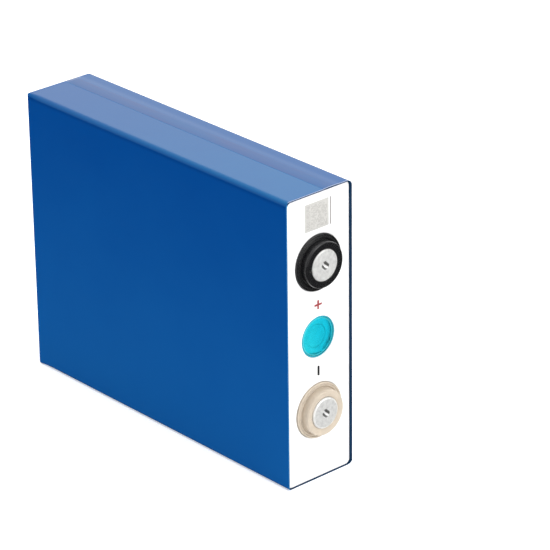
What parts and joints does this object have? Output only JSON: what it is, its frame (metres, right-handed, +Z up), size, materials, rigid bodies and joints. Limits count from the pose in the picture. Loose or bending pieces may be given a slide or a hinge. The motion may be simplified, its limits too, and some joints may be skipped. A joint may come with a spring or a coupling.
{
  "type": "prismatic lithium battery cell",
  "caption": "Flat rectangular rechargeable cell in blue film, with two round terminals in moulded gaskets and a covered safety vent on its white insulated lid.",
  "frame": {"origin": "centre of the cell's footprint, on the surface it stands on: the middle of its box in X and Y, and its lowest point in Z", "axes": "+X along the cell and out of the terminal face, +Y through its thickness, +Z up its width with the positive terminal above the negative one"},
  "size_m": [0.1696, 0.036, 0.1303],
  "materials": {
    "blue_film": "gloss",
    "aluminium": "satin",
    "terminal_aluminium": "matte",
    "copper": "satin",
    "white_sheet": "satin",
    "label_stock": "matte",
    "red_ink": "matte",
    "black_ink": "matte",
    "black_plastic": "satin",
    "beige_plastic": "satin",
    "teal_film": "gloss",
    "seal_rubber": "matte",
    "natural_plastic": "satin",
    "bag_film": "gloss",
    "roll_skin": "matte",
    "green_tape": "satin"
  },
  "bodies": {
    "cell": {"film_wrap": "blue_film", "case_can": "aluminium", "lid_plate": "aluminium", "top_insulation_sheet": "white_sheet", "code_label": "label_stock", "plus_mark": "red_ink", "minus_mark": "black_ink", "positive_gasket": "black_plastic", "positive_terminal_pad": "terminal_aluminium", "positive_pole": "aluminium", "positive_seal_ring": "seal_rubber", "positive_lower_insulator": "natural_plastic", "positive_connector": "aluminium", "positive_tabs_front": "aluminium", "positive_tabs_back": "aluminium", "negative_gasket": "beige_plastic", "negative_terminal_pad": "terminal_aluminium", "negative_pole": "copper", "negative_seal_ring": "seal_rubber", "negative_lower_insulator": "natural_plastic", "negative_connector": "copper", "negative_tabs_front": "copper", "negative_tabs_back": "copper", "vent_rim": "aluminium", "vent_guard": "natural_plastic", "fill_port_plug": "seal_rubber", "fill_port_cap": "aluminium", "electrode_roll_front": "roll_skin", "electrode_roll_back": "roll_skin", "roll_tape_front": "green_tape", "roll_tape_back": "green_tape", "insulating_bag": "bag_film", "end_pad": "natural_plastic"},
    "petal": {"vent_petal": "aluminium"},
    "cover": {"vent_cover_film": "teal_film"}
  },
  "joints": [
    {"name": "vent_open", "type": "hinge", "parent": "cell", "child": "petal", "pos_m": [0.079, 0.00515, 0.06505], "axis": [0, 0, 1], "range_deg": [0, 75]},
    {"name": "cover_peel", "type": "hinge", "parent": "cell", "child": "cover", "pos_m": [0.0801, 0.0091, 0.06505], "axis": [0, 0, 1], "range_deg": [0, 75]}
  ],
  "couplings": [
    {"joint": "cover_peel", "follows": "vent_open", "ratio": 1}
  ]
}
